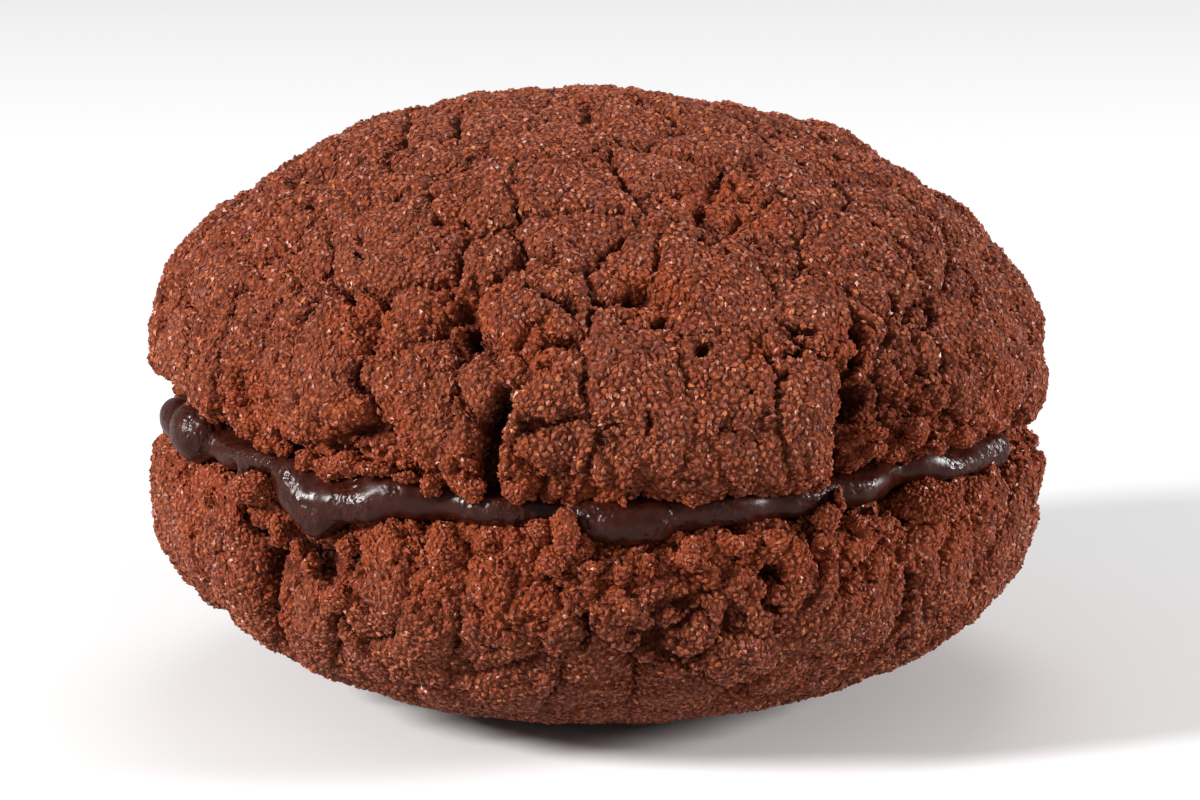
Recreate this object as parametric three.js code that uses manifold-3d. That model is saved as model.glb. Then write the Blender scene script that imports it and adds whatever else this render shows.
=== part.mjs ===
// A chocolate sandwich cookie: two crumbly domed cookies with their flat sides together, and a
// layer of chocolate cream between them that squeezes out round the edge in beads and drips.
//
// Millimetres, +Z up. The origin is the middle of the flat spot that the bottom cookie rests on.
// Azimuths are in degrees: 0 is the front (-Y), and they grow towards the right (+X).

import * as THREE from "three";
import { mergeVertices } from "three/addons/utils/BufferGeometryUtils.js";
import Module from "manifold-3d";

// Driving dimensions.
const RADIUS = 30; // both cookies at their widest
const HEIGHT = 39.9; // from the flat spot to the apex
const RIM_INSET = 2.8; // how far the rolled rim turns in from the widest ring to the flat side
const CONTACT_GAP = 0.3; // between the cream and the cookies
const AROUND = 80; // segments round the axis
const FACE_RINGS = [0, 0.45, 0.8]; // rings across a flat side, as shares of its radius
const RIM_RINGS = 3; // rings up the rolled rim
const FOOT_HEIGHT = 5; // below this the crust is pressed smooth towards the flat spot

// up is 1 for a dome that points up. widestZ is the height of the widest ring, depth the dome's
// rise from it, fullness the exponent of its curve (2 is an ellipse), lean how far its pole lies
// off the axis in X, faceZ the height of the flat side, and faceTilt that side's slope towards +X.
const TOP = {
  up: 1,
  widestZ: 23.2,
  depth: HEIGHT - 23.2,
  fullness: 1.91,
  lean: -1.3,
  faceZ: 20,
  faceTilt: -0.045,
  domeRings: 13,
  // Lobes of the rim: [azimuth, half width in degrees, lift].
  rimLobes: [
    [-72, 36, 1.9],
    [-8, 34, -0.95],
    [57, 28, 1.9],
    [150, 40, 0.6],
    [-130, 30, 0.7],
  ],
  // Open cracks: half width, depth, then the points they run through as [azimuth, height].
  cracks: [
    { half: 1.3, depth: 1.9, path: [[-17, 30], [-12, 27], [-12, 25], [-13.5, 22.5], [-14, 19.5]] },
    { half: 1.6, depth: 2.4, path: [[37, 29], [35, 26.5], [34.5, 24], [32.5, 21], [32, 19]] },
    { half: 1.1, depth: 1.0, path: [[-27, 29.5], [-32, 27], [-30, 24], [-31, 22]] },
    { half: 1.0, depth: 0.9, path: [[15, 28.7], [21, 28], [27, 28.2]] },
    { half: 1.0, depth: 0.8, path: [[-10, 32], [-3, 31.3], [5, 31.6]] },
    { half: 1.2, depth: 1.4, path: [[118, 28], [121, 25], [124, 22], [123, 20]] },
    { half: 1.2, depth: 1.5, path: [[-152, 30], [-150, 26], [-155, 23], [-153, 20.5]] },
    { half: 1.0, depth: 1.1, path: [[168, 33], [172, 30], [180, 29]] },
  ],
  clods: { count: 60, low: 20.5, high: 39, lift: 0.45, radius: 5 },
};
const BOTTOM = {
  up: -1,
  widestZ: 14.1,
  depth: 14.5,
  fullness: 2.27,
  lean: 0,
  faceZ: 17.4,
  faceTilt: 0,
  domeRings: 10,
  rimLobes: [
    [-37, 10, -1.1],
    [5, 10, -0.6],
    [55, 32, 0.9],
    [-82, 22, 0.5],
    [140, 30, -0.5],
    [-150, 34, 0.5],
  ],
  cracks: [
    { half: 1.9, depth: 1.9, path: [[-47, 15], [-45, 13.3], [-48, 12], [-48.5, 9.5], [-49, 7.5]] },
    { half: 1.6, depth: 1.7, path: [[-34, 15.6], [-33, 13.6], [-29, 12], [-28, 9.5]] },
    { half: 1.1, depth: 1.1, path: [[-5.5, 15.5], [-4, 12.8], [-2, 11.5], [-3, 9]] },
    { half: 1.1, depth: 1.1, path: [[22, 14.2], [20.5, 12.6], [23, 10.5]] },
    { half: 1.3, depth: 1.5, path: [[42, 17], [43.5, 12.8], [42, 10.4], [41, 8]] },
    { half: 1.2, depth: 1.4, path: [[105, 16], [109, 13], [107, 10]] },
    { half: 1.2, depth: 1.5, path: [[165, 16.5], [161, 13], [163, 9.5]] },
    { half: 1.2, depth: 1.4, path: [[-118, 16], [-114, 12.5], [-116, 9]] },
  ],
  clods: { count: 40, low: 7, high: 17, lift: 0.4, radius: 4 },
};

// The cream. Each squeeze is a bead at the edge: [azimuth, half width in degrees, how far its
// nose stands out from the axis, height of its middle, half of its thickness].
const CREAM = {
  discRadius: 24,
  discHalf: 1.6, // half of the layer's thickness before the cookies press it
  rootRadius: 25, // where the beads start
  noseSteps: 6, // segments round a bead's nose
  edgeRadius: 26.2, // how far the layer reaches where nothing squeezes out
  edgeHalf: 0.9,
  squeezes: [
    [-82, 9, 29.9, 19.7, 1.3],
    [-65, 11, 31.0, 19.8, 2.7],
    [-52, 9, 28.9, 18.6, 1.4],
    [-39, 9, 31.2, 18.3, 2.8],
    [-24, 17, 30.0, 18.4, 1.6],
    [4, 14, 30.0, 17.6, 1.6],
    [22, 12, 29.4, 18.0, 1.2],
    [38, 9, 29.6, 18.9, 1.2],
    [56, 12, 29.9, 19.6, 1.3],
    [118, 16, 29.3, 18.9, 1.3],
    [150, 14, 30.4, 18.6, 2.1],
    [-160, 22, 29.4, 18.9, 1.4],
    [-118, 15, 30.1, 19.2, 1.8],
  ],
};

const wasm = await Module();
wasm.setup();

const radians = THREE.MathUtils.degToRad;

// The signed angle from b to a, in degrees, the short way round.
const turnFrom = (a, b) => ((((a - b) % 360) + 540) % 360) - 180;

// A smooth hump: 1 at x = 0, and 0 from x = 1 or -1 outwards.
const hump = (x) => (Math.abs(x) < 1 ? (1 - x * x) ** 2 : 0);

// A repeatable number from 0 to 1 for each whole number k.
const scatter = (k) => Math.abs((Math.sin(k * 12.9898) * 43758.5453) % 1);

const azimuthOf = (p) => THREE.MathUtils.radToDeg(Math.atan2(p.x, -p.y));

const pointAt = (azimuth, radius, z) =>
  new THREE.Vector3(radius * Math.sin(radians(azimuth)), -radius * Math.cos(radians(azimuth)), z);

// A cookie's radius at a height, before its unevenness.
function radiusAt(cookie, z) {
  const rise = (z - cookie.widestZ) * cookie.up;
  if (rise > 0) {
    const share = Math.min(rise / cookie.depth, 1);
    return RADIUS * (1 - share ** cookie.fullness) ** (1 / cookie.fullness);
  }
  const drop = Math.abs(cookie.faceZ - cookie.widestZ);
  const share = Math.min(-rise / drop, 1);
  return RADIUS - RIM_INSET + RIM_INSET * Math.sqrt(1 - share * share);
}

// The outline that is turned round the axis, as radius and height, from the lower pole up. A dome
// that points down is cut off at z = 0, which leaves the flat spot.
function profileOf(cookie) {
  const outline = [];
  const { up, widestZ, depth, fullness, faceZ } = cookie;
  for (const share of FACE_RINGS) {
    outline.push(new THREE.Vector2((RADIUS - RIM_INSET) * share, faceZ));
  }
  for (let i = 0; i < RIM_RINGS; i++) {
    const angle = (Math.PI / 2) * (1 - i / RIM_RINGS);
    const radius = RADIUS - RIM_INSET + RIM_INSET * Math.cos(angle);
    outline.push(new THREE.Vector2(radius, widestZ + (faceZ - widestZ) * Math.sin(angle)));
  }
  for (let i = 0; i < cookie.domeRings; i++) {
    const angle = ((Math.PI / 2) * i) / cookie.domeRings;
    const radius = RADIUS * Math.cos(angle) ** (2 / fullness);
    const z = widestZ + up * depth * Math.sin(angle) ** (2 / fullness);
    if (z > 0) outline.push(new THREE.Vector2(radius, z));
  }
  const poleZ = Math.max(widestZ + up * depth, 0);
  if (poleZ === 0) outline.push(new THREE.Vector2(radiusAt(cookie, 0), 0));
  outline.push(new THREE.Vector2(0, poleZ));
  return up > 0 ? outline : outline.reverse();
}

// Turns an outline round +Z into one closed surface with shared vertices and outward normals.
function turned(outline) {
  const geometry = new THREE.LatheGeometry(outline, AROUND).rotateX(Math.PI / 2);
  geometry.deleteAttribute("uv");
  geometry.deleteAttribute("normal");
  const merged = mergeVertices(geometry, 1e-4);
  merged.computeVertexNormals();
  return merged;
}

// Moves every vertex of a geometry to place(point, normal).
function reshape(geometry, place) {
  const position = geometry.getAttribute("position");
  const normal = geometry.getAttribute("normal");
  const point = new THREE.Vector3();
  const out = new THREE.Vector3();
  for (let i = 0; i < position.count; i++) {
    point.fromBufferAttribute(position, i);
    out.fromBufferAttribute(normal, i);
    const moved = place(point, out);
    position.setXYZ(i, moved.x, moved.y, moved.z);
  }
  geometry.computeVertexNormals();
  return geometry;
}

// Height of a rim's lobes at an azimuth.
const lobesAt = (lobes, azimuth) =>
  lobes.reduce((sum, [at, half, lift]) => sum + lift * hump(turnFrom(azimuth, at) / half), 0);

// Leans the dome, and lifts and tilts the flat side and its rim, both from the widest ring on.
function unevenShape(cookie, point) {
  const rise = (point.z - cookie.widestZ) * cookie.up;
  const drop = Math.abs(cookie.faceZ - cookie.widestZ);
  const share = THREE.MathUtils.clamp(-rise / drop, 0, 1);
  point.x += cookie.lean * Math.max(rise / cookie.depth, 0) ** 2;
  const radius = Math.hypot(point.x, point.y);
  const outer = THREE.MathUtils.smoothstep(radius, RADIUS * 0.7, RADIUS * 0.9);
  const lift = lobesAt(cookie.rimLobes, azimuthOf(point)) * outer;
  point.z += share * (lift + cookie.faceTilt * point.x);
}

// Deepest groove of the cookie's cracks at a point.
function crackDepth(cookie, point) {
  let deepest = 0;
  const nearest = new THREE.Vector3();
  for (const { half, depth, path } of cookie.cracks) {
    const corners = path.map(([azimuth, z]) => pointAt(azimuth, radiusAt(cookie, z), z));
    for (let i = 1; i < corners.length; i++) {
      new THREE.Line3(corners[i - 1], corners[i]).closestPointToPoint(point, true, nearest);
      const share = point.distanceTo(nearest) / (2 * half);
      deepest = Math.max(deepest, depth * hump(share));
    }
  }
  return deepest;
}

// Rounded swellings spread over the crust by the golden angle, half of them as hollows.
function clodsOf(cookie) {
  const { count, low, high, lift, radius } = cookie.clods;
  return Array.from({ length: count }, (_, k) => {
    const z = low + (high - low) * scatter(k + 1);
    const centre = pointAt(k * 137.508, radiusAt(cookie, z), z);
    return { centre, lift: lift * (k % 2 ? 1 : -0.6), radius: radius * (0.6 + scatter(k + 71)) };
  });
}

// One cookie: cracks and swellings fade out towards its flat side and its flat spot.
function cookieGeometry(cookie) {
  const clods = clodsOf(cookie);
  return reshape(turned(profileOf(cookie)), (point, normal) => {
    const facing = Math.max(-normal.z * cookie.up, 0);
    const fade = THREE.MathUtils.smoothstep(point.z, 0, FOOT_HEIGHT) * (1 - facing);
    let push = -crackDepth(cookie, point);
    for (const clod of clods) {
      push += clod.lift * hump(point.distanceTo(clod.centre) / clod.radius);
    }
    const moved = point.clone().addScaledVector(normal, push * fade);
    unevenShape(cookie, moved);
    return moved;
  });
}

// The same surface moved out along its normals.
const grown = (geometry, distance) =>
  reshape(geometry.clone(), (point, normal) => point.clone().addScaledVector(normal, distance));

// The bead at an azimuth: the plain edge of the layer, swelled by the squeezes that reach it.
function beadAt(azimuth) {
  const { edgeRadius, edgeHalf, squeezes } = CREAM;
  const tilt = TOP.faceTilt * edgeRadius * Math.sin(radians(azimuth));
  const bead = { nose: edgeRadius, z: (BOTTOM.faceZ + TOP.faceZ + tilt) / 2, half: edgeHalf };
  for (const [at, width, nose, z, half] of squeezes) {
    const share = hump(turnFrom(azimuth, at) / width) ** 0.6;
    bead.nose = Math.max(bead.nose, edgeRadius + (nose - edgeRadius) * share);
    bead.z += (z - bead.z) * share;
    bead.half += (half - bead.half) * share;
  }
  return bead;
}

// The cream as squeezed, still overlapping both cookies: a disc whose edge is a row of beads.
// The outline's half round nose, of radius 1, becomes each azimuth's bead.
function squeezedCream() {
  const { discRadius, discHalf, rootRadius, noseSteps } = CREAM;
  const middle = (BOTTOM.faceZ + TOP.faceZ) / 2;
  const outline = [new THREE.Vector2(0, middle - discHalf)];
  outline.push(new THREE.Vector2(discRadius, middle - discHalf));
  for (let i = 0; i <= noseSteps; i++) {
    const angle = Math.PI * (i / noseSteps - 0.5);
    outline.push(new THREE.Vector2(rootRadius + Math.cos(angle), middle + discHalf * Math.sin(angle)));
  }
  outline.push(new THREE.Vector2(discRadius, middle + discHalf));
  outline.push(new THREE.Vector2(0, middle + discHalf));
  return reshape(turned(outline), (point) => {
    const radius = Math.hypot(point.x, point.y);
    const isDisc = radius < (discRadius + rootRadius) / 2;
    if (isDisc) return point.setZ(point.z + (TOP.faceTilt * point.x) / 2);
    const azimuth = azimuthOf(point);
    const bead = beadAt(azimuth);
    const reach = bead.nose - bead.half * (1 - (radius - rootRadius));
    const side = (point.z - middle) / discHalf;
    return pointAt(azimuth, reach, bead.z + side * bead.half);
  });
}

// A closed geometry as a solid that can be cut.
function manifoldOf(geometry) {
  const merged = mergeVertices(geometry.clone().deleteAttribute("normal"), 1e-4);
  const vertProperties = new Float32Array(merged.getAttribute("position").array);
  const triVerts = new Uint32Array(merged.index.array);
  return new wasm.Manifold(new wasm.Mesh({ numProp: 3, vertProperties, triVerts }));
}

// A cut solid back as a geometry.
function geometryOf(solid) {
  const { numProp, vertProperties, triVerts } = solid.getMesh();
  const geometry = new THREE.BufferGeometry();
  const interleaved = new THREE.InterleavedBuffer(vertProperties, numProp);
  geometry.setAttribute("position", new THREE.InterleavedBufferAttribute(interleaved, 3, 0));
  geometry.setIndex(new THREE.BufferAttribute(triVerts, 1));
  return geometry;
}

// The cream trimmed to the space that the two cookies leave it, keeping its one main body.
function creamGeometry(bottom, top) {
  const room = [bottom, top].map((geometry) => manifoldOf(grown(geometry, CONTACT_GAP)));
  const trimmed = manifoldOf(squeezedCream()).subtract(room[0]).subtract(room[1]);
  const bodies = trimmed.decompose().sort((a, b) => b.volume() - a.volume());
  return geometryOf(bodies[0].simplify(0.04));
}

const cookieCrumb = new THREE.MeshStandardMaterial({ color: 0x773b29, roughness: 0.85, metalness: 0 });
const chocolateCream = new THREE.MeshStandardMaterial({ color: 0x2c1714, roughness: 0.3, metalness: 0 });

function part(name, geometry, material) {
  const mesh = new THREE.Mesh(geometry, material);
  mesh.name = name;
  return mesh;
}

const bottomCookie = cookieGeometry(BOTTOM);
const topCookie = cookieGeometry(TOP);
const sandwich = new THREE.Group();
sandwich.add(part("bottom_cookie", bottomCookie, cookieCrumb));
sandwich.add(part("chocolate_cream", creamGeometry(bottomCookie, topCookie), chocolateCream));
sandwich.add(part("top_cookie", topCookie, cookieCrumb));

export default sandwich;
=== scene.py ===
"""A chocolate sandwich cookie: two crumbly domed cookies with chocolate cream between them.

Shapes are worked out in millimetres and put into the meshes in metres, in the frame's axes: +Z up,
and the middle of the flat spot that the bottom cookie rests on at the origin. Azimuths are in
degrees: 0 is the front (-Y), and they grow towards the right (+X).
"""

import math

import bmesh
import bpy
import numpy as np
from mathutils import Matrix, Vector, kdtree, noise


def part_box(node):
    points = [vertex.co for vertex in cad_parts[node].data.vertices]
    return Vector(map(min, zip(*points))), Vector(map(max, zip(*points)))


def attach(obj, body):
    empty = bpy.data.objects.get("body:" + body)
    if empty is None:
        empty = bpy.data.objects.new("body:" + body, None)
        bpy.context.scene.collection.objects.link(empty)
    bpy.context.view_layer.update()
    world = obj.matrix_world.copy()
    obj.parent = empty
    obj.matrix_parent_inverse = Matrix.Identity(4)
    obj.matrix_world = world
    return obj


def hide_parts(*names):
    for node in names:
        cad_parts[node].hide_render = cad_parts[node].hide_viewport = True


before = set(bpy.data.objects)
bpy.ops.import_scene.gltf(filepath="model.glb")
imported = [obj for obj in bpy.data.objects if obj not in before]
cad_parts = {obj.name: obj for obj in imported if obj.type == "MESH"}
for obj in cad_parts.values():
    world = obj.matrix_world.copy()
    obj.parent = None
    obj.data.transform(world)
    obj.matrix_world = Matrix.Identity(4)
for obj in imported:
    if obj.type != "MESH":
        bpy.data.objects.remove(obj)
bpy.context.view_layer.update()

MM = 0.001
TOP_LOW, TOP_HIGH = (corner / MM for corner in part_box("top_cookie"))
RADIUS = (TOP_HIGH.x - TOP_LOW.x) / 2
HEIGHT = TOP_HIGH.z
RIM_INSET = 2.8  # how far the rolled rim turns in from the widest ring to the flat side
FACE_REACH = 22.0  # the crust's fine surface ends here on the flat side, out of sight
CRUST_SHARE = 0.597  # share of the starting ball that becomes crust, the rest is cut off
BALL_CUTS = 8  # how finely the starting ball is cut into triangles
CRACK_STEP = 0.12  # distance between the points that stand for a crack's middle line
SKIN_CELL = 0.225  # size of the cells in which the cream's parts run together
SKIN_SMOOTHING = 36  # rounds of smoothing on the cream's skin
SMALL_CRUMBS = 90  # crumbs scattered round the rims besides the placed ones
GOLDEN_ANGLE = 137.508  # degrees; turns of this size never fall in line
GRAIN_TRIES = 30  # grains tried on each square millimetre, before the spacing thins them out

# Grains: the smallest distance between two, the length of the shortest and of the longest, and the
# seed of their places, turns and sizes.
FINE_GRAINS = dict(spacing=0.435, lengths=(0.34, 0.54), seed=5)
COARSE_GRAINS = dict(spacing=0.45, lengths=(0.44, 0.7), seed=25)
CRUMB_GRAINS = dict(spacing=0.26, lengths=(0.34, 0.6), seed=45)

CRUMB_SEED = 8  # fixes the noise that makes the borders of plates and lumps crooked
noise.seed_set(CRUMB_SEED)

# Each cookie is a dome on a rolled rim, as in the frame. up is 1 for a dome that points up. widest
# is the height of its widest ring, depth the dome's height from there and fullness how square its
# curve is. lean shifts the pole towards +X, face is the height of the flat side and tilt that
# side's slope towards +X.
# lobes lift the rim: (azimuth, half width in degrees, lift).
# swells lift or sink the crust: (azimuth, height, reach, lift).
# cracks: (half width, depth, points as (azimuth, height)).
# broken patches have coarse, bare crumb and calm ones an even crust: (azimuth, height, reach).
TOP = dict(
    up=1, widest=23.2, depth=HEIGHT - 23.2, fullness=1.91, lean=-1.3, face=20.0, tilt=-0.045,
    seed=3.0,
    lobes=[
        (-72, 36, 0.3), (-48, 20, -0.5), (-8, 34, -0.95), (57, 28, 1.3), (150, 40, 0.6),
        (-130, 30, 0.4),
    ],
    swells=[
        (-30, 25.5, 4.5, 0.35), (-6, 24.5, 7, 0.45), (18, 23.5, 8, 0.5), (29, 27, 4, 0.45),
        (38, 23.5, 4.2, -1.5), (47, 28, 7, 0.3), (-9, 29.5, 3.5, 0.3), (60, 24, 5, 0.3),
    ],
    cracks=[
        (0.75, 2.2, [(-24, 32.9), (-23, 32.6)]),
        (0.5, 1.6, [(-19.5, 31.8), (-20, 31)]),
        (0.85, 2.4, [(-17.2, 30.2), (-16.5, 29.4), (-14.6, 29)]),
        (0.4, 1.6, [(-14.5, 29), (-11.5, 27.6), (-10.8, 26.6)]),
        (0.8, 3.4, [(-10.6, 26.6), (-11.2, 25.4), (-12, 24.4), (-13, 23.2), (-13.6, 22)]),
        (0.9, 3.4, [(-13.6, 22), (-14.2, 20.8), (-15, 19.6), (-15.6, 18.8)]),
        (0.35, 1.0, [(-9.5, 32), (-6, 31.4), (-3, 31.3)]),
        (0.35, 1.1, [(-42.5, 34.2), (-41, 33.9)]),
        (0.3, 0.8, [(-42, 36), (-39, 36.4), (-37, 36.3)]),
        (0.35, 1.0, [(-29, 35.3), (-26, 35.4), (-24, 35)]),
        (0.35, 1.0, [(-38.5, 30.9), (-37, 30.5)]),
        (0.35, 1.0, [(-40.5, 33.1), (-39, 32.8)]),
        (0.35, 0.9, [(-27, 29), (-30, 28.8), (-32, 28)]),
        (0.4, 1.2, [(-62, 35.2), (-61, 34.8)]),
        (0.35, 0.9, [(-52, 25.5), (-52.5, 24.5), (-52, 23.3)]),
        (0.4, 1.4, [(-57.5, 30.9), (-60.5, 29.6), (-57, 26.9), (-55.6, 24.2), (-55, 22.6)]),
        (0.4, 1.2, [(-72, 29.5), (-70, 27.4), (-66.7, 25.5), (-64.6, 23.9), (-63.5, 22.6)]),
        (0.4, 1.2, [(-32, 28), (-33, 26.8), (-32, 26), (-30, 24), (-29, 23.2)]),
        (0.6, 1.5, [(-29.5, 23.4), (-31, 22.7), (-33, 22)]),
        (0.3, 0.9, [(-2, 38.7), (2, 38.9)]),
        (0.3, 0.9, [(5, 38.6), (15, 38.9), (25, 38.7)]),
        (0.4, 1.2, [(44, 39.2), (50, 39.1)]),
        (0.45, 1.3, [(7, 37.4), (9, 37.2)]),
        (0.3, 0.9, [(10, 36.8), (17, 36.6), (25, 37)]),
        (0.35, 1.0, [(35, 36), (39, 36.1), (42, 35.8)]),
        (0.35, 1.1, [(26, 35.3), (28, 35)]),
        (0.4, 1.1, [(19, 34.6), (21, 34.3)]),
        (0.3, 0.9, [(57, 34.6), (59, 34.2)]),
        (0.3, 1.0, [(58.5, 33.2), (60, 32.2)]),
        (0.35, 1.0, [(36.5, 33.2), (38, 32.7)]),
        (0.3, 0.9, [(37.5, 30.5), (39.5, 29.5)]),
        (0.45, 2.0, [(37, 29.4), (36.5, 28.2), (35, 27), (34.2, 26)]),
        (1.0, 4.2, [(34.2, 26), (34.5, 24.5), (33.8, 23.4), (33, 22.3)]),
        (0.9, 3.8, [(33, 22.3), (31.8, 20.8), (31, 19.0)]),
        (0.35, 1.1, [(23.5, 31), (26, 30), (29.5, 29.2)]),
        (0.4, 1.3, [(14.5, 28.8), (18, 28.5), (20, 28), (24, 28.3), (27.5, 27.9)]),
        (0.35, 1.1, [(4.5, 31.8), (6.5, 31.4)]),
        (0.35, 1.0, [(12, 31.5), (14, 31.2)]),
        (0.25, 0.7, [(14, 26.8), (19, 26.5), (24, 26.9)]),
        (0.25, 0.7, [(5, 25.4), (5, 24.1)]),
        (0.25, 0.6, [(6, 24.1), (12, 23.6), (20, 23)]),
        (0.25, 0.6, [(4, 21.2), (8, 21.4), (12, 21)]),
        (0.3, 0.9, [(53, 26.2), (53.5, 24), (53, 22)]),
        (0.3, 0.9, [(46, 30.5), (45, 27.5), (46, 25)]),
        (0.3, 0.8, [(62, 30), (61, 27), (62, 25)]),
        (0.3, 0.8, [(70, 29), (69, 26), (70, 23.5)]),
        (0.35, 1.0, [(44.5, 22), (47, 21.7), (50, 21.7)]),
        (0.6, 2.0, [(118, 28), (121, 25), (124, 22), (123, 20)]),
        (0.6, 2.2, [(-152, 30), (-150, 26), (-155, 23), (-153, 20.5)]),
        (0.45, 1.6, [(168, 33), (172, 30), (180, 29)]),
        (0.35, 1.2, [(100, 34), (108, 33), (112, 31)]),
        (0.35, 1.2, [(-110, 30), (-106, 27), (-108, 24)]),
        (0.35, 1.2, [(-170, 36), (-150, 35.5), (-140, 36.5)]),
        (0.35, 1.2, [(145, 27), (150, 25), (149, 22)]),
    ],
    broken=[
        (-31, 23, 4), (-20, 31, 4), (-13, 22, 3), (-34, 29.5, 3), (36.5, 23.5, 5), (34, 28, 3),
        (-8, 29, 3), (20, 28.4, 2.5), (-50, 23.5, 4), (40, 21, 5), (8, 32, 3), (30, 36, 4),
        (60, 22, 4), (3, 19.8, 4), (120, 24, 6), (-152, 25, 6), (172, 30, 5), (-110, 25, 5),
        (148, 22, 5), (85, 21, 4),
    ],
    calm=[(11, 24.5, 7.5), (22, 31, 4), (-140, 28, 6), (95, 27, 6)],
)
BOTTOM = dict(
    up=-1, widest=14.1, depth=14.5, fullness=2.27, lean=0.0, face=17.4, tilt=0.0, seed=11.0,
    lobes=[
        (-37, 10, -1.1), (5, 10, -0.6), (55, 32, 0.3), (-82, 22, 0.5), (140, 30, -0.5),
        (-150, 34, 0.5),
    ],
    swells=[
        (-46, 13.8, 3.3, -1.5), (-41, 15.3, 2.8, -1.1), (-36, 14.4, 2.8, -1.3),
        (-25, 13, 4.5, 0.4), (-38, 9, 4, 0.4), (8, 13.5, 4.5, 0.3), (30, 13, 5, 0.4),
        (16, 10, 4, 0.3), (52, 13, 5, 0.4), (-10, 12.5, 3.5, 0.3),
    ],
    cracks=[
        (0.5, 1.6, [(-50, 14.6), (-47, 13.8), (-44, 13.4), (-41, 13.2)]),
        (0.5, 1.7, [(-37, 15.8), (-34, 15), (-31, 13.8)]),
        (0.7, 2.8, [(-48.5, 12.6), (-48, 11), (-48, 9.5), (-49, 8)]),
        (0.5, 2.2, [(-49, 8), (-50.5, 6.8), (-51, 5.8)]),
        (0.4, 1.3, [(-31, 12.2), (-29.5, 11), (-28, 9.4)]),
        (0.4, 1.3, [(-21, 12.8), (-19.5, 12.4)]),
        (0.6, 1.8, [(-6.5, 14.6), (-5.5, 13.6)]),
        (0.4, 1.4, [(-3.5, 12.8), (-1.5, 11.8), (-1, 10.4), (-2.5, 9.1)]),
        (0.4, 1.3, [(8, 10.7), (8, 9.6)]),
        (0.3, 1.0, [(9, 11), (12, 11.4), (14.5, 11)]),
        (0.55, 1.8, [(21.5, 14.3), (22.5, 13.7)]),
        (0.35, 1.2, [(22, 13.8), (20.8, 12.6), (21.5, 12.2)]),
        (0.35, 1.1, [(23, 12.2), (22.6, 11), (23.4, 9.8)]),
        (0.55, 1.9, [(43.2, 12.7), (42.2, 11.4), (42, 10.3), (41, 8)]),
        (0.9, 2.2, [(39.5, 17.2), (41.5, 16.8), (43.5, 16.9)]),
        (0.35, 1.1, [(41, 8), (38, 6.6), (37.5, 5.6)]),
        (0.3, 0.9, [(57, 14.5), (56.5, 12.5), (58, 10.5)]),
        (0.3, 0.9, [(66, 14), (65, 12), (66, 9.5)]),
        (0.3, 0.8, [(-14, 9.5), (-17, 8.2), (-16, 6.8)]),
        (0.3, 0.8, [(-66, 13), (-65, 11), (-67, 9)]),
        (0.6, 1.8, [(105, 16), (109, 13), (107, 10)]),
        (0.6, 1.9, [(165, 16.5), (161, 13), (163, 9.5)]),
        (0.6, 1.8, [(-118, 16), (-114, 12.5), (-116, 9)]),
        (0.4, 1.3, [(135, 13), (138, 11), (136, 9)]),
        (0.4, 1.3, [(-150, 13), (-147, 11), (-150, 8.5)]),
        (0.35, 1.2, [(-95, 14), (-93, 12), (-95, 10)]),
    ],
    broken=[
        (-46, 14.5, 4), (-35, 14.5, 4), (-47, 10, 2.5), (-10, 14.5, 5), (2, 15.5, 4), (22, 14.5, 3.5),
        (41, 15.5, 4.5), (50, 15.5, 4), (-20, 15, 4), (-66, 15, 3), (110, 14, 5), (162, 14, 5),
        (-116, 14, 5), (138, 14.5, 4), (-150, 14, 4), (80, 15.5, 4), (12, 15.5, 3.5), (32, 15.5, 4),
    ],
    calm=[(28, 9, 5), (-75, 11, 5), (-135, 9, 5), (120, 9, 5)],
)

# The cream fills the room between the two rims and squeezes out of it. disc_half is half the
# thickness of its plain disc, which reaches out to root. edge is how far the rope round it reaches
# between the beads, and overlap how deep it goes into both rims.
# beads: (azimuth, half width in degrees, how far the nose stands out from the axis, sag).
# drops are blobs run together with it: (azimuth, distance from the axis, height, across, up).
CREAM = dict(
    disc_half=1.75, root=25.0, edge=27.0, overlap=0.1,
    beads=[
        (-60, 14, 27.5, 0.0), (-38, 12, 29.3, 0.2), (-28, 16, 29.6, 0.0), (-14, 16, 29.1, 0.0),
        (3, 16, 29.6, 0.5), (16, 15, 29.3, 0.1), (27, 12, 28.9, 0.0), (37, 10, 28.9, 0.0),
        (51, 9, 28.8, 0.0), (60, 8, 29.2, 0.0),
        (118, 20, 29.2, 0.1), (150, 18, 30.0, 0.5), (-160, 26, 29.1, 0.0), (-118, 19, 29.7, 0.3),
    ],
    drops=[
        (-77, 28.6, 19.4, 6.4, 2.8), (-67, 28.4, 19.7, 5.0, 4.5), (-59, 27.8, 18.9, 4.5, 2.3),
        (-53.3, 28.8, 18.0, 1.3, 1.6), (-51, 28.3, 19.4, 8.0, 1.7), (-43, 28.7, 19.0, 3.6, 2.8),
        (-41.5, 28.6, 18.3, 3.8, 3.6), (-39.5, 28.7, 17.6, 3.8, 3.6), (-37.8, 29.1, 16.6, 2.8, 2.7),
        (-36, 28.7, 17.9, 4.0, 3.2), (-32, 28.6, 18.0, 5.0, 2.8), (63.5, 28.4, 18.9, 3.2, 2.9),
        (57, 28.5, 18.7, 7.0, 1.8), (150, 28.5, 17.8, 4.2, 3.4), (-119, 28.2, 18.9, 4.0, 3.2),
        (152, 29.1, 16.6, 2.6, 2.8), (-122, 28.9, 18.0, 2.6, 2.8), (-178, 28.4, 18.2, 4.4, 2.4),
    ],
)

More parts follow.
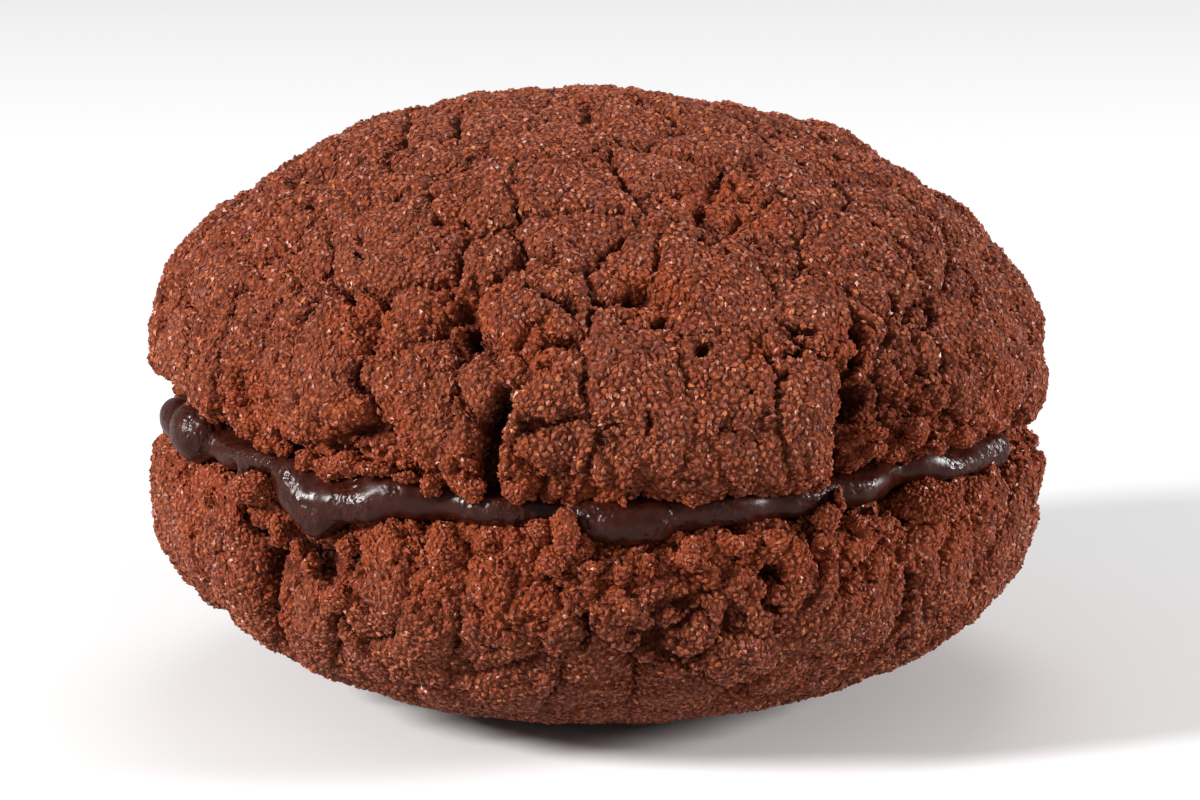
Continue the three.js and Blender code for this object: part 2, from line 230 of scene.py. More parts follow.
# Loose crumbs baked onto the rims: (azimuth, distance from the axis, height, radius).
RIM_CRUMBS = [
    (-59.4, 29.2, 16.2, 1.1), (-49.7, 29.3, 17.6, 1.7), (-53.5, 29.2, 15.9, 1.0), (-45, 29.4, 15.3, 1.2),
    (-41, 29.4, 14.6, 0.8), (-39.5, 29.2, 13.5, 1.5), (-34.8, 29.2, 11.9, 1.5), (-33, 29.4, 15.3, 1.0),
    (-28, 29.1, 15.3, 1.5), (-27, 29.4, 16.6, 0.9), (-19.6, 29.2, 15.9, 1.6), (-14, 29.3, 16.4, 1.4),
    (-9.5, 29.6, 16.6, 1.0), (-4.3, 29.4, 17.5, 1.3), (-7.5, 29.4, 17.4, 0.9), (-6, 29.7, 15.8, 1.1),
    (-1, 29.9, 15.2, 0.8), (11, 29.6, 15.8, 0.9), (17, 29.4, 16.4, 1.2), (22, 29.4, 16.4, 1.0),
    (29.4, 29.4, 17.4, 0.9), (31.8, 29.0, 18.4, 0.8), (35.4, 29.3, 16.7, 1.3), (39, 29.3, 16.3, 0.9),
    (46.5, 28.9, 17.0, 2.0), (51.5, 28.9, 16.8, 1.1), (56.7, 28.9, 16.5, 1.4), (62, 28.8, 17.2, 1.0),
    (37, 29.0, 21.3, 1.1), (40.5, 29.0, 20.8, 1.0), (36.5, 29.3, 22.6, 0.9), (43, 29.1, 21.3, 0.9),
    (-33, 29.1, 20.7, 1.0), (-29, 29.2, 20.6, 1.1), (-25, 29.1, 20.3, 1.0), (-21, 29.2, 19.9, 0.9),
    (-16.5, 29.0, 20.0, 0.9), (-10.5, 29.0, 19.8, 0.8), (-44, 29.0, 20.8, 1.1), (-62, 28.3, 22.0, 1.6),
    (-55.5, 28.4, 21.6, 1.4), (-50, 28.6, 21.3, 1.3), (-47, 28.8, 20.9, 0.9), (-39.5, 29.0, 20.4, 1.0),
    (-36, 29.1, 20.3, 1.0), (3, 29.0, 19.5, 0.8), (12, 29.0, 19.4, 0.7), (19, 29.0, 19.6, 0.8),
    (28, 29.0, 19.8, 0.9), (48, 29.0, 20.7, 1.1), (53, 28.9, 20.9, 1.2), (58, 28.8, 21.0, 1.1),
    (104, 29.2, 17.2, 1.6), (112, 29.4, 15.8, 1.2), (133, 29.2, 17.0, 1.4), (163, 29.3, 16.4, 1.6),
    (-172, 29.3, 17.0, 1.2), (-140, 29.2, 17.2, 1.6), (-101, 29.3, 16.9, 1.5),
    (-96, 29.4, 15.4, 1.0), (170, 29.1, 21.0, 1.2), (-150, 29.0, 21.2, 1.0),
]

# Lamps: (name, place and size in metres, power in watts). They aim at LIT_PLACE.
LAMPS = [
    ("key_light", (-0.50, -0.24, 0.28), 0.16, 5.2),
    ("right_light", (0.54, -0.06, 0.18), 0.16, 3.2),
    ("top_light", (0.05, 0.20, 0.50), 0.3, 0.5),
]
LIT_PLACE = (0, 0, 0.019)
SKY_STRENGTH = 0.25
FLOOR_SIZE = 3.0  # half its side, in metres
FLOOR_SEEN = 0.99  # how pale the floor looks
FLOOR_BOUNCE = 0.52  # how pale it is for the light that it throws back

# The camera looks at the cookie's middle from the front.
CAMERA_ELEVATION = 13  # degrees above the table
CAMERA_DISTANCE = 0.4  # metres
CAMERA_TARGET = (0, 0, 0.0192)
CAMERA_LENS = 177.9  # focal length in millimetres


# ---------------------------------------------------------------- shape functions, in millimetres

def hump(x):
    """1 at x = 0, falling smoothly to 0 at x = 1 and -1."""
    return np.clip(1 - x * x, 0, 1) ** 2


def ramp(low, high, x):
    """0 below low, 1 above high and smooth between."""
    t = np.clip((x - low) / (high - low), 0, 1)
    return t * t * (3 - 2 * t)


def turn_from(a, b):
    """The angle from b to a in degrees, the short way round."""
    return (a - b + 180) % 360 - 180


def azimuths(points):
    """Azimuths of points, in degrees."""
    return np.degrees(np.arctan2(points[:, 0], -points[:, 1]))


def outline(cookie):
    """Radius and height of a cookie's surface from the pole over the rim onto its flat side."""
    angle = np.linspace(0, math.pi / 2, 400)
    power = 2 / cookie["fullness"]
    dome_r = RADIUS * np.sin(angle) ** power
    dome_z = cookie["widest"] + cookie["up"] * cookie["depth"] * np.cos(angle) ** power
    rim_r = RADIUS - RIM_INSET + RIM_INSET * np.cos(angle)
    rim_z = cookie["widest"] + (cookie["face"] - cookie["widest"]) * np.sin(angle)
    face_r = np.linspace(RADIUS - RIM_INSET, FACE_REACH, 50)
    radius = np.concatenate([dome_r, rim_r[1:], face_r[1:]])
    height = np.concatenate([dome_z, rim_z[1:], np.full(49, cookie["face"])])
    return radius, np.maximum(height, 0)


def wrap(cookie, share, azimuth):
    """Points of a smooth cookie and its outward normals, with equal shares on equal areas."""
    radius, height = outline(cookie)
    step_r, step_z = np.gradient(radius), np.gradient(height)
    length = np.hypot(step_r, step_z) + 1e-9
    area = np.cumsum(np.maximum(radius, 0.05) * length)
    area = (area - area[0]) / (area[-1] - area[0])
    r = np.interp(share, area, radius)
    z = np.interp(share, area, height)
    out_r = np.interp(share, area, -step_z / length) * cookie["up"]
    out_z = np.interp(share, area, step_r / length) * cookie["up"]
    size = np.hypot(out_r, out_z)
    sine, cosine = np.sin(azimuth), np.cos(azimuth)
    points = np.stack([r * sine, -r * cosine, z], axis=1)
    normals = np.stack([out_r * sine, -out_r * cosine, out_z], axis=1) / size[:, None]
    return points, normals


def radius_at(cookie, z):
    """A smooth cookie's radius at a height."""
    rise = (z - cookie["widest"]) * cookie["up"]
    if rise > 0:
        share = min(rise / cookie["depth"], 1)
        return RADIUS * (1 - share ** cookie["fullness"]) ** (1 / cookie["fullness"])
    share = min(-rise / abs(cookie["face"] - cookie["widest"]), 1)
    return RADIUS - RIM_INSET + RIM_INSET * math.sqrt(1 - share * share)


def spot(azimuth, radius, z):
    """The place at an azimuth, a distance from the axis and a height."""
    angle = math.radians(azimuth)
    return Vector((radius * math.sin(angle), -radius * math.cos(angle), z))


def on_crust(cookie, azimuth, z):
    """The place on a smooth cookie at an azimuth and a height."""
    return spot(azimuth, radius_at(cookie, z), z)


def clumps(points, size, offset, stretch=(1, 1, 1)):
    """Cells like pressed crumbs: distance from the cell's middle and from its border, both as shares
    of its size, a random value for the cell, and the place of its middle."""
    scaled = points * np.array(stretch) / size + offset
    middle = np.empty(len(points))
    border = np.empty(len(points))
    value = np.empty(len(points))
    centre = np.empty((len(points), 3))
    for i, place in enumerate(scaled.tolist()):
        distances, centres = noise.voronoi(place)
        middle[i] = distances[0]
        border[i] = distances[1] - distances[0]
        value[i] = noise.cell(centres[0] * 7.3)
        centre[i] = centres[0]
    return middle, border, value, (centre - offset) * size / np.array(stretch)


def waves(points, size, offset):
    """Smooth noise from about -1 to 1."""
    scaled = (points / size + offset).tolist()
    return np.array([noise.noise(place) for place in scaled]) * 1.6


def warped(points, size, reach, offset):
    """Points shifted by smooth noise, so that cells built on them get crooked borders."""
    scaled = (points / size + offset).tolist()
    shift = np.array([noise.noise_vector(place) for place in scaled])
    return points + shift * reach


def crack_field(cookie, points):
    """Depth of the open cracks at each point, with the soft shoulders beside them."""
    samples = []
    for half, depth, path in cookie["cracks"]:
        corners = [on_crust(cookie, azimuth, z) for azimuth, z in path]
        for start, end in zip(corners, corners[1:]):
            steps = max(int((end - start).length / CRACK_STEP), 1)
            samples += [(start.lerp(end, k / steps), half, depth) for k in range(steps + 1)]
    tree = kdtree.KDTree(len(samples))
    for k, (place, _, _) in enumerate(samples):
        tree.insert(place, k)
    tree.balance()
    nearest = [tree.find(place)[1:] for place in points.tolist()]
    half, depth = np.array([samples[k][1:] for k, _ in nearest]).T
    distance = np.array([distance for _, distance in nearest])
    shoulder = 0.16 * depth * (1 - ramp(0.2, 2.0, distance))
    return depth * (1 - ramp(0.55, 1.3, distance / half)), shoulder


def spots_field(cookie, points, spots):
    """Where round spots lie, as a share from 0 to 1."""
    field = np.zeros(len(points))
    for azimuth, z, reach in spots:
        centre = np.array(on_crust(cookie, azimuth, z))
        distance = np.linalg.norm(points - centre, axis=1)
        field = np.maximum(field, hump(distance / (reach * 1.3)))
    return field


def add_swells(cookie, points, height):
    """Adds the swells to the height and returns how deep the sunk ones are."""
    hollow = np.zeros(len(points))
    for azimuth, z, reach, lift in cookie["swells"]:
        distance = np.linalg.norm(points - np.array(on_crust(cookie, azimuth, z)), axis=1)
        swell = lift * hump(distance / (1.4 * reach))
        height += swell
        hollow -= np.minimum(swell, 0)
    return hollow


def regions(cookie, points, normals):
    """Where the crust is hidden between the cookies, on the rim, clear of the table, broken and
    calm, each as a share from 0 to 1."""
    under = ramp(0.3, 0.6, -normals[:, 2] * cookie["up"])
    inside = under * ramp(26.4, 24.6, np.hypot(points[:, 0], points[:, 1]))
    rim = ramp(3.8, 0.6, np.abs(points[:, 2] - cookie["face"]))
    foot = ramp(0, 7, points[:, 2])
    patchy = ramp(0.0, 0.8, waves(points, 6, cookie["seed"] + 5))
    calm = spots_field(cookie, points, cookie["calm"])
    broken = spots_field(cookie, points, cookie["broken"]) + 0.55 * rim + 0.4 * patchy
    broken = np.clip(broken, 0, 1) * foot * (1 - 0.6 * calm)
    return inside, rim, foot, broken, calm


def relief(cookie, points, normals):
    """How far the crust stands out from the smooth cookie, and the marks that its colour follows,
    painted shade in sunk places among them.
    """
    seed = cookie["seed"]
    inside, rim, foot, broken, calm = regions(cookie, points, normals)

    # The crumbs, and the lumps, plates and pits whose borders follow them.
    crooked = warped(warped(points, 1.3, 0.35, seed), 5.0, 1.1, seed + 9)
    fine_middle, fine_border, fine_chance, fine_centre = clumps(crooked, 0.85, seed + 33)
    crumbly = crooked + (fine_centre - crooked) * (0.25 + 0.35 * broken)[:, None]
    _, lump_border, lump_chance, _ = clumps(crumbly, 2.5, seed + 21, stretch=(1, 1, 0.8))
    _, plate_border, plate_chance, _ = clumps(crumbly, 6.0, seed + 2, stretch=(1, 1, 0.65))
    pits, _, pit_chance, _ = clumps(crumbly, 1.5, seed + 41)

    # How far plates and lumps stand open, and the height of all of them and of the swells.
    open_plates = (0.4 + 0.6 * ramp(-0.5, 0.3, waves(points, 9, seed + 13))) * (0.25 + 0.75 * foot)
    open_plates *= 1 - 0.8 * calm
    open_lumps = ramp(-0.6, 0.4, waves(points, 4.5, seed + 17)) * (0.6 + 0.4 * broken)
    open_lumps *= 1 - 0.8 * calm
    height = 0.4 * waves(points, 8, seed) + 0.25 * waves(points, 3.4, seed + 7) + 0.5 * rim
    height += open_plates * (0.38 * (ramp(0, 0.24, plate_border) - 0.8) + 0.22 * (plate_chance - 0.5))
    height += (0.4 + 0.6 * broken) * 0.24 * (ramp(0, 0.3, lump_border) - 0.6)
    height += (0.15 + 0.85 * broken) * 0.4 * (lump_chance - 0.5)
    height += (0.45 + 0.55 * broken) * 0.45 * (0.42 - fine_middle)
    height += 0.25 * broken * (fine_chance - 0.5)
    hollow = add_swells(cookie, points, height)

    # What is sunk in: gaps between plates, seams between lumps, pits and cracks.
    gap = 0.85 * open_plates * (1 - ramp(0.01, 0.065, plate_border))
    seam = 0.5 * open_lumps * (1 - ramp(0.0, 0.11, lump_border))
    hole = (pit_chance > 0.76 - 0.2 * broken) * ramp(0.38, 0.2, pits)
    hole = hole * (0.25 + 0.5 * fine_chance) * (1 - calm)
    crack, shoulder = crack_field(cookie, crumbly)
    sunk = np.maximum.reduce([gap, seam, hole * (0.3 + 0.7 * foot), crack])
    height = (height - sunk - shoulder) * (1 - inside) * (0.3 + 0.7 * foot)
    # The sunk mark sets painted shade: cracks, gaps, seams, pits, sunk swells and the borders between
    # crumbs are painted darker.
    marks = dict(
        sunk=np.clip(sunk / 1.4 + 0.3 * hollow + 0.25 * (1 - ramp(0, 0.2, fine_border)), 0, 1),
        broken=broken,
        grained=(1 - inside) * (1 - 0.8 * ramp(0.35, 0.9, sunk)),
    )
    return height, marks


def uneven(cookie, points):
    """Leans the dome, and lifts and tilts the flat side and its rim, as in the frame."""
    moved = points.copy()
    rise = (points[:, 2] - cookie["widest"]) * cookie["up"]
    drop = abs(cookie["face"] - cookie["widest"])
    share = np.clip(-rise / drop, 0, 1)
    moved[:, 0] += cookie["lean"] * np.maximum(rise / cookie["depth"], 0) ** 2
    outer = ramp(RADIUS * 0.7, RADIUS * 0.9, np.hypot(points[:, 0], points[:, 1]))
    lift = sum(lobe * hump(turn_from(azimuths(points), at) / half) for at, half, lobe in cookie["lobes"])
    moved[:, 2] += share * (lift * outer + cookie["tilt"] * points[:, 0])
    return moved


# ---------------------------------------------------------------- meshes

def finished(name, bm, material):
    """Turns a bmesh in metres into a piece of the object."""
    mesh = bpy.data.meshes.new(name)
    bm.to_mesh(mesh)
    bm.free()
    mesh.shade_smooth()
    mesh.materials.append(material)
    piece = bpy.data.objects.new(name, mesh)
    bpy.context.scene.collection.objects.link(piece)
    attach(piece, "root")
    return piece


def places(mesh):
    """The places of a mesh's vertices."""
    co = np.empty(len(mesh.vertices) * 3)
    mesh.vertices.foreach_get("co", co)
    return co.reshape(-1, 3)


def put(mesh, points):
    """Moves a mesh's vertices to these points."""
    mesh.vertices.foreach_set("co", points.astype(np.float32).ravel())
    mesh.update()


def mark(mesh, name, values):
    """Stores one value for each vertex, which materials and grains read by its name."""
    attribute = mesh.attributes.new(name, "FLOAT", "POINT")
    attribute.data.foreach_set("value", values.astype(np.float32))


def cookie_piece(name, cookie, material):
    """A ball with its underside cut off, wrapped onto the cookie's outline and roughened."""
    bm = bmesh.new()
    bmesh.ops.create_icosphere(bm, subdivisions=BALL_CUTS, radius=1)
    cut = 1 - 2 * CRUST_SHARE
    bmesh.ops.bisect_plane(
        bm, geom=bm.verts[:] + bm.edges[:] + bm.faces[:], plane_co=(0, 0, cut), plane_no=(0, 0, 1),
        clear_inner=True,
    )
    ring = [edge for edge in bm.edges if edge.is_boundary]
    bmesh.ops.holes_fill(bm, edges=ring, sides=len(ring))
    if cookie["up"] < 0:
        bmesh.ops.reverse_faces(bm, faces=bm.faces[:])
    piece = finished(name, bm, material)
    ball = places(piece.data)
    share = (1 - ball[:, 2] / np.linalg.norm(ball, axis=1)) / (1 - cut)
    points, normals = wrap(cookie, np.clip(share, 0, 1), np.arctan2(ball[:, 0], -ball[:, 1]))
    height, marks = relief(cookie, points, normals)
    shaped = uneven(cookie, points + normals * height[:, None])
    shaped[:, 2] = np.maximum(shaped[:, 2], 0)
    put(piece.data, shaped * MM)
    for key, values in marks.items():
        mark(piece.data, key, values)
    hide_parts(name)
    piece.name = name + "_crust"
    return piece


def rim_height(cookie, azimuth):
    """Height of a cookie's flat side near its rim."""
    lift = sum(lobe * hump(turn_from(azimuth, at) / half) for at, half, lobe in cookie["lobes"])
    return cookie["face"] + float(lift) + cookie["tilt"] * spot(azimuth, 28, 0).x


def squeezed(point):
    """Where a point of the plain ring goes once the cream is squeezed out."""
    azimuth = math.degrees(math.atan2(point.x, -point.y))
    radius = math.hypot(point.x, point.y)
    low, high = rim_height(BOTTOM, azimuth), rim_height(TOP, azimuth)
    if radius < CREAM["root"] - 0.05:
        middle = (TOP["face"] + BOTTOM["face"] + TOP["tilt"] * point.x) / 2
        outer = float(ramp(FACE_REACH, CREAM["root"], radius))
        middle += ((low + high) / 2 - middle) * outer
        half = CREAM["disc_half"] + ((high - low) / 2 + CREAM["overlap"] - CREAM["disc_half"]) * outer
        return Vector((point.x, point.y, middle + point.z / CREAM["disc_half"] * half))
    nose, sag = CREAM["edge"], 0.0
    for at, width, bead_nose, bead_sag in CREAM["beads"]:
        share = float(hump(turn_from(azimuth, at) / width))
        nose = max(nose, CREAM["edge"] + (bead_nose - CREAM["edge"]) * share)
        sag = max(sag, bead_sag * share)
    low -= sag
    half = (high - low) / 2 + CREAM["overlap"]
    reach = nose - half * (1 - (radius - CREAM["root"])) * 0.8
    return spot(azimuth, reach, (low + high) / 2 + point.z / CREAM["disc_half"] * half)


def cream_ring():
    """A ring whose outer edge is a rope of beads, as a bmesh in millimetres."""
    bm = bmesh.new()
    half, inner, root = CREAM["disc_half"], FACE_REACH - 2, CREAM["root"]
    nose_steps, flank_steps, turns = 20, 6, 360
    flank = [inner + (root - 0.1 - inner) * k / flank_steps for k in range(flank_steps + 1)]
    angles = [math.pi * (0.5 - k / nose_steps) for k in range(nose_steps + 1)]
    corners = [(r, half) for r in flank]
    corners += [(root + math.cos(angle), half * math.sin(angle)) for angle in angles]
    corners += [(r, -half) for r in reversed(flank)]
    verts = [bm.verts.new((0, -r, z)) for r, z in corners]
    loop = [bm.edges.new(pair) for pair in zip(verts, verts[1:] + verts[:1])]
    bmesh.ops.spin(
        bm, geom=verts + loop, cent=(0, 0, 0), axis=(0, 0, 1), angle=2 * math.pi, steps=turns,
        use_merge=True,
    )
    bmesh.ops.remove_doubles(bm, verts=bm.verts[:], dist=1e-4)
    bmesh.ops.recalc_face_normals(bm, faces=bm.faces[:])
    for vert in bm.verts:
        vert.co = squeezed(vert.co)
    return bm


def cream_piece(material):
    """The ring and its drops run together into one skin."""
    bm = cream_ring()
    for azimuth, radius, z, across, up in CREAM["drops"]:
        moved = Matrix.Translation(spot(azimuth, radius, z))
        turned = moved @ Matrix.Rotation(math.radians(azimuth), 4, "Z")
        scaled = turned @ Matrix.Diagonal((across / 2, min(across, up) / 2, up / 2, 1))
        bmesh.ops.create_icosphere(bm, subdivisions=4, radius=1, matrix=scaled)
    bmesh.ops.scale(bm, vec=(MM, MM, MM), verts=bm.verts[:])
    piece = finished("chocolate_cream", bm, material)
    remesh = piece.modifiers.new("skin", "REMESH")
    remesh.mode = "VOXEL"
    remesh.voxel_size = SKIN_CELL * MM
    smooth = piece.modifiers.new("smooth", "SMOOTH")
    smooth.factor = 0.5
    smooth.iterations = SKIN_SMOOTHING
    apply_modifiers(piece)
    points = places(piece.data) / MM
    normals = vertex_normals(piece.data)
    ripple = 0.1 * waves(points, 3.2, 3.0) + 0.02 * waves(points, 0.9, 8.0)
    put(piece.data, (points + normals * ripple[:, None]) * MM)
    piece.data.shade_smooth()
    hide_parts("chocolate_cream")
    piece.name = "cream_layer"
    return piece


def scattered_crumbs():
    """Small crumbs all round both rims, placed by the golden angle."""
    crumbs = []
    for k in range(SMALL_CRUMBS):
        cookie = TOP if k % 2 else BOTTOM
        azimuth = turn_from(k * GOLDEN_ANGLE, 0)
        draws = [noise.cell((k * 3.1 + j * 17.7, 5.0, 9.0)) for j in range(2)]
        radius = 0.35 + 0.55 * draws[0] ** 2
        rise = cookie["up"] * (0.2 + 2.1 * draws[1])
        reach = radius_at(cookie, cookie["face"] + rise) - 0.35 * radius
        crumbs.append((azimuth, reach, rim_height(cookie, azimuth) + rise, radius))
    return crumbs


def crumb_piece(material):
    """The crumbs on both rims."""
    bm = bmesh.new()
    for k, (azimuth, radius, z, size) in enumerate(RIM_CRUMBS + scattered_crumbs()):
        stretch = [0.8 + 0.5 * noise.cell((k * 5.3, j * 7.1, 2.0)) for j in range(3)]
        shape = Matrix.Translation(spot(azimuth, radius, z)) @ Matrix.Rotation(k, 4, "X")
        shape = shape @ Matrix.Diagonal([size * share for share in stretch] + [1])
        bmesh.ops.create_icosphere(bm, subdivisions=4 if size > 0.6 else 3, radius=1, matrix=shape)
    piece = finished("rim_crumbs", bm, material)
    points = places(piece.data)
    normals = vertex_normals(piece.data)
    fine_middle, fine_border, fine_chance, _ = clumps(warped(points, 1.3, 0.35, 4.0), 0.8, 6.0)
    height = 0.3 * (0.42 - fine_middle) + 0.12 * (fine_chance - 0.5) + 0.22 * waves(points, 1.9, 2.0)
    put(piece.data, (points + normals * height[:, None]) * MM)
    # Painted shade: the borders between the crumbs' small cells are marked sunk and painted darker.
    mark(piece.data, "sunk", 0.4 * (1 - ramp(0, 0.2, fine_border)))
    mark(piece.data, "broken", np.ones(len(points)))
    mark(piece.data, "grained", np.ones(len(points)))
    return piece


def vertex_normals(mesh):
    """The normals at a mesh's vertices."""
    normals = np.empty(len(mesh.vertices) * 3, np.float32)
    mesh.vertex_normals.foreach_get("vector", normals)
    return normals.reshape(-1, 3)


def apply_modifiers(piece):
    """Puts a piece's modifiers into its mesh."""
    shown = piece.evaluated_get(bpy.context.evaluated_depsgraph_get())
    shaped = bpy.data.meshes.new_from_object(shown)
    piece.modifiers.clear()
    piece.data = shaped


def grain_shape():
    """One crystal of sugar or crumb, which the crust carries by the thousand."""
    bm = bmesh.new()
    longish = Matrix.Diagonal((1, 0.62, 0.55, 1))
    bmesh.ops.create_uvsphere(bm, u_segments=4, v_segments=2, radius=1, matrix=longish)
    mesh = bpy.data.meshes.new("grain")
    bm.to_mesh(mesh)
    bm.free()
    return bpy.data.objects.new("grain", mesh)


def add(tree, kind, **settings):
    """A new node with these settings."""
    node = tree.nodes.new(kind)
    for key, value in settings.items():
        setattr(node, key, value)
    return node


def chance(tree, data_type, seed, low=None, high=None):
    """The socket of a random value that each grain has for itself."""
    node = add(tree, "FunctionNodeRandomValue", data_type=data_type)
    node.inputs["Seed"].default_value = seed
    if low is not None:
        node.inputs["Min"].default_value = low
        node.inputs["Max"].default_value = high
    return next(socket for socket in node.outputs if socket.enabled)


def grain_places(tree, crust, grains):
    """Nodes that spread points over a crust, close together but never closer than the spacing."""
    source = add(tree, "GeometryNodeObjectInfo")
    source.inputs["Object"].default_value = crust
    grained = add(tree, "GeometryNodeInputNamedAttribute")
    grained.inputs["Name"].default_value = "grained"
    scatter = add(tree, "GeometryNodeDistributePointsOnFaces", distribute_method="POISSON")
    scatter.inputs["Distance Min"].default_value = grains["spacing"] * MM
    scatter.inputs["Density Max"].default_value = GRAIN_TRIES / MM ** 2
    scatter.inputs["Seed"].default_value = grains["seed"]
    tree.links.new(source.outputs["Geometry"], scatter.inputs["Mesh"])
    tree.links.new(grained.outputs["Attribute"], scatter.inputs["Density Factor"])
    return scatter


def grain_tree(crust, grain, grains):
    """Nodes that lay grains on a crust, turned and sized at random, and make them real mesh."""
    tree = bpy.data.node_groups.new("grains", "GeometryNodeTree")
    tree.interface.new_socket("Geometry", in_out="OUTPUT", socket_type="NodeSocketGeometry")
    scatter = grain_places(tree, crust, grains)
    seed = grains["seed"]
    sizes = [(length / 2 * MM,) * 3 for length in grains["lengths"]]
    turn = chance(tree, "FLOAT_VECTOR", seed + 1, (-0.5, -0.5, 0), (0.5, 0.5, 2 * math.pi))
    size = chance(tree, "FLOAT_VECTOR", seed + 2, *sizes)
    tint = chance(tree, "FLOAT", seed + 3)
    turned = add(tree, "FunctionNodeRotateRotation", rotation_space="LOCAL")
    one = add(tree, "GeometryNodeObjectInfo")
    one.inputs["Object"].default_value = grain
    copies = add(tree, "GeometryNodeInstanceOnPoints")
    tinted = add(tree, "GeometryNodeStoreNamedAttribute", domain="INSTANCE")
    tinted.inputs["Name"].default_value = "tint"
    real = add(tree, "GeometryNodeRealizeInstances")
    out = add(tree, "NodeGroupOutput")
    for source, target in (
        (scatter.outputs["Points"], copies.inputs["Points"]),
        (scatter.outputs["Rotation"], turned.inputs["Rotation"]),
        (turn, turned.inputs["Rotate By"]),
        (turned.outputs["Rotation"], copies.inputs["Rotation"]),
        (one.outputs["Geometry"], copies.inputs["Instance"]),
        (size, copies.inputs["Scale"]),
        (copies.outputs["Instances"], tinted.inputs["Geometry"]),
        (tint, tinted.inputs["Value"]),
        (tinted.outputs["Geometry"], real.inputs["Geometry"]),
        (real.outputs["Geometry"], out.inputs["Geometry"]),
    ):
        tree.links.new(source, target)
    return tree


def grain_piece(name, crust, material, grains):
    """The grains of one kind on one crust."""
    piece = finished(name, bmesh.new(), material)
    scatter = piece.modifiers.new("grains", "NODES")
    scatter.node_group = grain_tree(crust, grain_shape(), grains)
    apply_modifiers(piece)
    piece.data.materials.clear()
    piece.data.materials.append(material)
    piece.data.shade_flat()
    return piece


# ---------------------------------------------------------------- materials

def new_material(name):
    """A material and its nodes."""
    material = bpy.data.materials.new(name)
    material.use_nodes = True
    return material, material.node_tree


def linear(red, green, blue):
    """A screen colour, 0 to 255, as the renderer's linear colour."""
    shares = (channel / 255 for channel in (red, green, blue))
    return tuple(c / 12.92 if c <= 0.04 else ((c + 0.055) / 1.055) ** 2.4 for c in shares) + (1,)


def join(tree, value, socket):
    """Sets a socket from a number, a colour or another node's output."""
    if isinstance(value, bpy.types.NodeSocket):
        tree.links.new(value, socket)
    else:
        socket.default_value = value


def mix(tree, factor, a, b):
    """Colour a where the factor is 0 and colour b where it is 1."""
    node = add(tree, "ShaderNodeMix", data_type="RGBA")
    for value, socket in ((factor, node.inputs[0]), (a, node.inputs[6]), (b, node.inputs[7])):
        join(tree, value, socket)
    return node.outputs[2]


def remap(tree, value, low, high, to_low=0.0, to_high=1.0):
    """to_low where the value is below low, to_high above high and smooth between."""
    node = add(tree, "ShaderNodeMapRange", interpolation_type="SMOOTHSTEP")
    names = ("Value", "From Min", "From Max", "To Min", "To Max")
    for name, number in zip(names, (value, low, high, to_low, to_high)):
        join(tree, number, node.inputs[name])
    return node.outputs["Result"]


def noise_node(tree, size, detail):
    """Smooth noise with patches of this size in millimetres."""
    node = add(tree, "ShaderNodeTexNoise")
    node.inputs["Scale"].default_value = 1 / (size * MM)
    node.inputs["Detail"].default_value = detail
    tree.links.new(add(tree, "ShaderNodeTexCoord").outputs["Object"], node.inputs["Vector"])
    return node.outputs["Fac"]


def bump(tree, height, strength, distance, below=None):
    """Fine relief, this many millimetres high, on top of another one if there is one below."""
    node = add(tree, "ShaderNodeBump")
    node.inputs["Strength"].default_value = strength
    node.inputs["Distance"].default_value = distance * MM
    tree.links.new(height, node.inputs["Height"])
    if below is not None:
        tree.links.new(below, node.inputs["Normal"])
    return node.outputs["Normal"]


def tone_group():
    """How the baked brown changes over the cookie: warmer where it broke, with painted shade darkening
    the cracks and other sunk places.
    """
    tree = bpy.data.node_groups.new("baked_tone_and_painted_shade", "ShaderNodeTree")
    tree.interface.new_socket("Color", in_out="INPUT", socket_type="NodeSocketColor")
    tree.interface.new_socket("Color", in_out="OUTPUT", socket_type="NodeSocketColor")
    tree.interface.new_socket("Deep shade", in_out="OUTPUT", socket_type="NodeSocketFloat")
    given = add(tree, "NodeGroupInput").outputs["Color"]
    sunk = add(tree, "ShaderNodeAttribute", attribute_name="sunk").outputs["Fac"]
    broken = add(tree, "ShaderNodeAttribute", attribute_name="broken").outputs["Fac"]
    patch = remap(tree, noise_node(tree, 6, 4), 0.35, 0.65, 0.0, 0.3)
    tone = mix(tree, patch, given, linear(150, 78, 52))
    tone = mix(tree, remap(tree, broken, 0.1, 0.9, 0.0, 0.5), tone, linear(160, 69, 31))
    # Painted shade: the deeper a place is sunk, the nearer its colour goes to a near-black brown.
    deep_shade = remap(tree, sunk, 0.12, 0.9, 0.0, 0.8)
    tone = mix(tree, deep_shade, tone, linear(44, 14, 7))
    out = add(tree, "NodeGroupOutput")
    tree.links.new(tone, out.inputs["Color"])
    tree.links.new(deep_shade, out.inputs["Deep shade"])
    return tree


def toned(tree, group, colour):
    """The colour with the baked tone and the painted shade of sunk places on it, and how deep in a crack
    each place is.
    """
    node = add(tree, "ShaderNodeGroup", node_tree=group)
    tree.links.new(colour, node.inputs["Color"])
    return node.outputs["Color"], node.outputs["Deep shade"]


